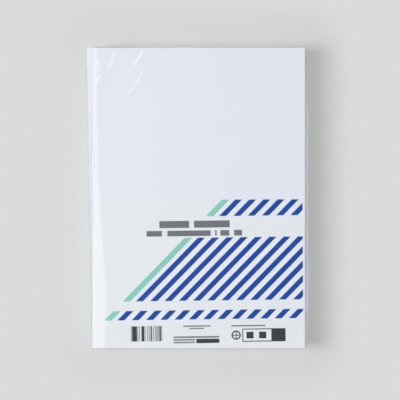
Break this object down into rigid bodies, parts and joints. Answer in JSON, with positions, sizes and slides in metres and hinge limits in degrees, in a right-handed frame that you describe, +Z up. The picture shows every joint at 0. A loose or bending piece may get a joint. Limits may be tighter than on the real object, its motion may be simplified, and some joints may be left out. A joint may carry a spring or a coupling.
{
  "type": "ream of paper",
  "caption": "Sealed ream of A4 office paper: a squared stack of white sheets with a striped printed insert on top, in clear film folded over at both ends.",
  "frame": {"origin": "middle of the film's flat underside, below the middle of the stack of sheets", "axes": "+Z up through the thickness, +Y along the length of the sheets towards the head of the printed insert, +X across the width to the reader's right"},
  "size_m": [0.2202, 0.298, 0.0523],
  "materials": {
    "sheet_paper": "uncoated bright white office paper with a slight blue cast, cut edges showing fine lines",
    "printed_paper": "uncoated white paper printed with one mint green stripe and blue diagonal stripes, grey bars and a dark grey plain bar pattern",
    "clear_film": "clear glossy polypropylene film, lightly creased at the corners"
  },
  "bodies": {
    "root": {"paper_block": "sheet_paper", "insert_sheet": "printed_paper", "film_wrap": "clear_film"}
  },
  "joints": []
}
